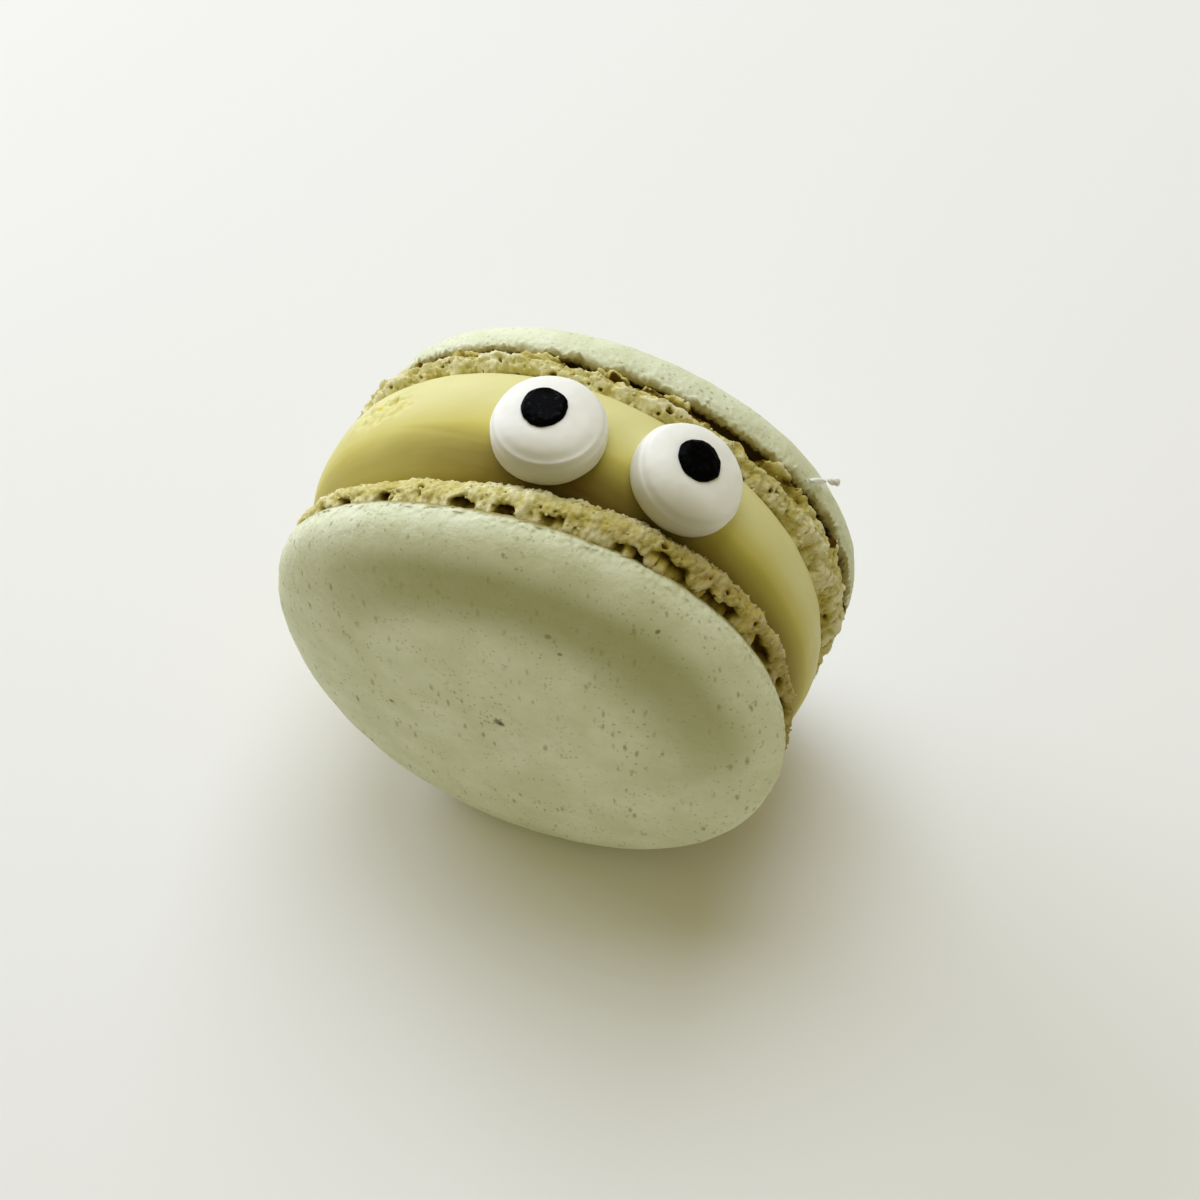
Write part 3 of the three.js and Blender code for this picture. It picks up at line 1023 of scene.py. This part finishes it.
flakeShape = {
    "turn": 33.2,           # degrees round the rear cap's lip
    "depth": 11.3,
    # along the lip, outwards from it, lift off the crust, length, and lean in degrees
    "strands": [(0.9, -0.8, 0.05, 2.6, -41), (-0.6, 0.5, 0.2, 1.2, -30), (-1.0, 0.8, 0.45, 0.8, 60),
                (-0.8, 0.6, 0.6, 0.7, 10)],
    "thickness": 0.27,
}


# A few pale shreds caught on the rear cap's lip: short tapered strands laid across each other.
def makeFlake(material):
    turn = math.radians(flakeShape["turn"])
    outward = Vector((math.cos(turn), 0, math.sin(turn)))
    around = Vector((-math.sin(turn), 0, math.cos(turn)))
    strands = []
    for offset, deeper, lift, length, lean in flakeShape["strands"]:
        deselectAll()
        bpy.ops.mesh.primitive_uv_sphere_add(segments=12, ring_count=8, radius=1 * mm)
        strand = bpy.context.object
        tilt = math.radians(lean)
        along = (around * math.cos(tilt) + Vector((0, 1, 0)) * math.sin(tilt)).normalized()
        side = outward.cross(along)
        thick = flakeShape["thickness"]
        radius = rearShell["capRadius"] + lift
        depth = flakeShape["depth"] + deeper
        centre = middle + (Vector((rearShell["capCentre"][0], depth, rearShell["capCentre"][1]))
                           + outward * radius + around * offset) * mm

        def place(point, normal):
            bend = 0.18 * noise.noise(point * 1.7 + Vector((offset * 5, 0, 0)))
            return (centre + (along * point.z * length * 0.5 + side * (point.x * thick + bend)
                              + outward * (point.y * thick + bend * 0.6)) * mm)

        reshape(strand, place)
        strands.append(strand)
    flake = joinPieces(strands, "flake_rear")
    setValues(flake, under=[0.0] * len(flake.data.vertices))
    faceOutwards(flake)
    finishPiece(flake, "shell_rear", material)


eyeShape = {
    "radius": 4.85,
    "bandHeight": 2.0,      # the straight edge below the dome
    "height": 3.8,
    "seatRadius": 23.8,     # from the cream's axis to the disc's back
    "pupilRadius": 1.95,
    "columns": 96,
    "pupilColumns": 64,
    "levels": 2,
    # (height, step from the radius) up the disc's edge below its dome
    "discFoot": [(-0.3, -1.2), (-0.28, -0.5), (0.0, -0.16), (0.4, -0.03), (1.0, 0.02)],
    "discShoulder": [(-0.35, 0), (-0.08, -0.06), (0.05, -0.2)],
    "domeRings": [0.925, 0.88, 0.8, 0.66, 0.5, 0.33, 0.15],     # shares of the radius
    "pupilEdge": [(-0.5, -0.25), (-0.12, -0.02), (0.1, 0), (0.26, -0.18), (0.36, -0.5)],
}
# degrees round the cream, mm towards the front shell, nod in degrees, the pupil's shift in mm
eyes = [
    {"name": "left", "angle": 0.3, "along": 2.0, "nod": 4.3, "shift": (-0.4, 0.24), "seed": 3,
     "ridge": 0.12, "ridgeLean": -0.3},
    {"name": "right", "angle": 27.9, "along": 0.67, "nod": 0.2, "shift": (-0.36, 0.3), "seed": 8,
     "ridge": 0.0, "ridgeLean": 0},
]


def eyeMatrix(eye):
    stand = Matrix.Rotation(math.radians(eye["nod"]), 4, "X")
    sit = Matrix.Translation((0, -eye["along"] * mm, eyeShape["seatRadius"] * mm))
    swing = Matrix.Rotation(math.radians(eye["angle"]), 4, "Y")
    centre = Matrix.Translation(middle + Vector((cream["centre"][0], 0, cream["centre"][1])) * mm)
    return centre @ swing @ sit @ stand


def domeHeightAt(reach):
    rise = eyeShape["height"] - eyeShape["bandHeight"]
    return eyeShape["bandHeight"] + rise * (1 - min(1.0, reach) ** 2.4) ** 0.62


def makeEye(eye, whiteIcing, blackIcing):
    radius, band = eyeShape["radius"], eyeShape["bandHeight"]
    matrix = eyeMatrix(eye)
    profile = [(-0.3, 1.0)]
    profile += [(height, radius + step) for height, step in eyeShape["discFoot"]]
    profile += [(band + height, radius + step) for height, step in eyeShape["discShoulder"]]
    profile += [(domeHeightAt(reach), radius * reach) for reach in eyeShape["domeRings"]]
    disc = turnDisc("eye_disc_" + eye["name"] + "_icing", eyeShape["columns"], profile)
    subdivide(disc, eyeShape["levels"])
    drift = Vector((eye["seed"] * 4.7, 2.1, 8.8))
    under = []

    def placeDisc(point, normal):
        # painted shade: the disc is coloured darker on its side towards the front shell, which faces
        # away from the lamps
        under.append(smooth(0.35, 1.0, -point.y / radius))
        swell = 0.06 * noise.noise(point / 2.5 + drift) + 0.02 * noise.noise(point / 0.8 + drift)
        # a pressed ridge stands along the edge of the dome on the side towards the front shell
        side = smooth(0.1, -0.8, (point.y + point.x * eye["ridgeLean"]) / radius)
        out = math.hypot(point.x, point.y)
        atTop = smooth(band - 0.6, band - 0.1, point.z)
        ridge = math.exp(-((out - radius + 0.3) / 0.16) ** 2)
        ridge -= 0.8 * math.exp(-((out - radius + 0.75) / 0.3) ** 2)
        lift = Vector((0, 0, eye["ridge"] * side * ridge * atTop))
        return matrix @ ((point + point.normalized() * swell + lift) * mm)

    reshape(disc, placeDisc)
    setValues(disc, under=under)
    faceOutwards(disc)
    finishPiece(disc, "eye_disc_" + eye["name"], whiteIcing)

    width = eyeShape["pupilRadius"]
    top = domeHeightAt(0.1)
    profile = [(top - 0.5, 0.3)]
    profile += [(top + height, width + step) for height, step in eyeShape["pupilEdge"]]
    profile += [(top + 0.4, width * 0.5), (top + 0.4, 0.3)]
    pupil = turnDisc("eye_pupil_" + eye["name"] + "_icing", eyeShape["pupilColumns"], profile)
    subdivide(pupil, eyeShape["levels"])

    def placePupil(point, normal):
        turn = math.atan2(point.y, point.x)
        rim = Vector((math.cos(turn), math.sin(turn), 0))
        grow = 1 + 0.07 * noise.noise(rim * 1.3 + drift) + 0.03 * noise.noise(rim * 4 + drift)
        wrinkle = 0.05 * noise.noise(point / 0.45 + drift) + 0.05 * noise.noise(point / 0.9 + drift)
        height = point.z + smooth(top - 0.1, top + 0.3, point.z) * wrinkle
        moved = Vector((point.x * grow + eye["shift"][0], point.y * grow + eye["shift"][1], height))
        return matrix @ (moved * mm)

    reshape(pupil, placePupil)
    faceOutwards(pupil)
    finishPiece(pupil, "eye_pupil_" + eye["name"], blackIcing)


# darker flecks on the front cap: sideways and up from its middle, and size, in mm
frontFlecks = [(0.3, 1.1, 0.55), (0.6, 0.9, 0.4), (-10.5, -2.5, 0.3), (5, 15.5, 0.4), (6, 13.5, 0.28),
               (13.5, 17, 0.26)]
frontShellFinish = makeShellFinish("bakedShellFront", frontFlecks)
rearShellFinish = makeShellFinish("bakedShellRear")
footFinish = makeFootFinish("footCrumb")
creamFinish = makeCreamFinish()
blackIcing = makeBlackIcing()
whiteIcing = makeWhiteIcing("eyeWhiteIcing")

makeCap("cap_front", "shell_front", frontShell, frontShellFinish, 1)
makeCap("cap_rear", "shell_rear", rearShell, rearShellFinish, 2)
footFront = makeFoot("foot_front", "shell_front", frontShell, footFinish, footShape["front"], 1)
footRear = makeFoot("foot_rear", "shell_rear", rearShell, footFinish, footShape["rear"], 2)
makeCrumbs("crumbs_front", "shell_front", frontShell, footFront, footFinish, footShape["front"], 4)
makeCrumbs("crumbs_rear", "shell_rear", rearShell, footRear, footFinish, footShape["rear"], 5)
makeFlake(whiteIcing)
makeCream(creamFinish)
for eye in eyes:
    makeEye(eye, whiteIcing, blackIcing)

studio = {
    "floor": colour(238, 238, 238),
    "floorSize": 4,             # metres
    "floorRoughness": 0.6,
    "lampSize": 0.6,            # metres
    "lampDistance": 0.8,
    "lamps": [                  # degrees round from straight behind the view, and above the floor
        {"name": "windowTop", "round": 0, "above": 65, "power": 4.2, "colour": (0.79, 0.84, 0.96)},
        {"name": "windowSide", "round": -45, "above": 22, "power": 4.2, "colour": (0.76, 0.80, 0.95)},
    ],
    "ambient": (1.0, 0.9, 0.48),
    "ambientStrength": 0.36,
}


def makeLamp(lamp):
    light = bpy.data.lights.new(lamp["name"], "AREA")
    light.size = studio["lampSize"]
    light.energy = lamp["power"]
    light.color = lamp["colour"]
    holder = bpy.data.objects.new(lamp["name"], light)
    bpy.context.scene.collection.objects.link(holder)
    turn, climb = math.radians(view["azimuth"] - lamp["round"]), math.radians(lamp["above"])
    level = math.cos(climb)
    aim = Vector((-math.sin(turn) * level, math.cos(turn) * level, math.sin(climb)))
    holder.location = aim * studio["lampDistance"]
    holder.rotation_euler = (-aim).to_track_quat("-Z", "Y").to_euler()


def makeStudio():
    deselectAll()
    bpy.ops.mesh.primitive_plane_add(size=studio["floorSize"])
    floor = bpy.context.object
    floor.name = "studio_floor"
    material, tree, shader, place = newFinish("studioFloor")
    shader.inputs["Base Color"].default_value = studio["floor"]
    shader.inputs["Roughness"].default_value = studio["floorRoughness"]
    floor.data.materials.append(material)
    for lamp in studio["lamps"]:
        makeLamp(lamp)
    world = bpy.data.worlds.new("studioWorld")
    world.use_nodes = True
    tree = world.node_tree
    ambient = tree.nodes["Background"]
    ambient.inputs["Color"].default_value = (*studio["ambient"], 1)
    ambient.inputs["Strength"].default_value = studio["ambientStrength"]
    # seen directly, the room past the floor's edge is as pale as the floor
    pale = addNode(tree, "Background", 0, -200)
    pale.inputs["Color"].default_value = studio["floor"]
    ray = addNode(tree, "LightPath", 0, 200)
    both = addNode(tree, "MixShader", 300, 0)
    tree.links.new(ray.outputs["Is Camera Ray"], both.inputs[0])
    tree.links.new(ambient.outputs[0], both.inputs[1])
    tree.links.new(pale.outputs[0], both.inputs[2])
    tree.links.new(both.outputs[0], tree.nodes["World Output"].inputs["Surface"])
    bpy.context.scene.world = world
    bpy.context.scene.view_settings.view_transform = "Standard"
    print("studio made")


view = {
    "azimuth": 21.14,       # degrees round from the front shell
    "elevation": 54.09,
    "distance": 200.0,      # mm from the macaron's middle, along the view
    "slide": (3.485, -0.702),  # mm to the right and up
    "lens": 65.6,
    "sensor": 36,
}


def makeCamera():
    turn, climb = math.radians(view["azimuth"]), math.radians(view["elevation"])
    level = math.cos(climb)
    back = Vector((math.sin(turn) * level, -math.cos(turn) * level, math.sin(climb)))
    right = Vector((math.cos(turn), math.sin(turn), 0))
    up = back.cross(right)
    camera = bpy.data.cameras.new("camera")
    camera.lens = view["lens"]
    camera.sensor_width = view["sensor"]
    camera.clip_start = 0.01
    holder = bpy.data.objects.new("camera", camera)
    bpy.context.scene.collection.objects.link(holder)
    slide = right * view["slide"][0] + up * view["slide"][1]
    holder.location = middle + (back * view["distance"] + slide) * mm
    holder.rotation_euler = (-back).to_track_quat("-Z", "Y").to_euler()
    bpy.context.scene.camera = holder


makeStudio()
makeCamera()
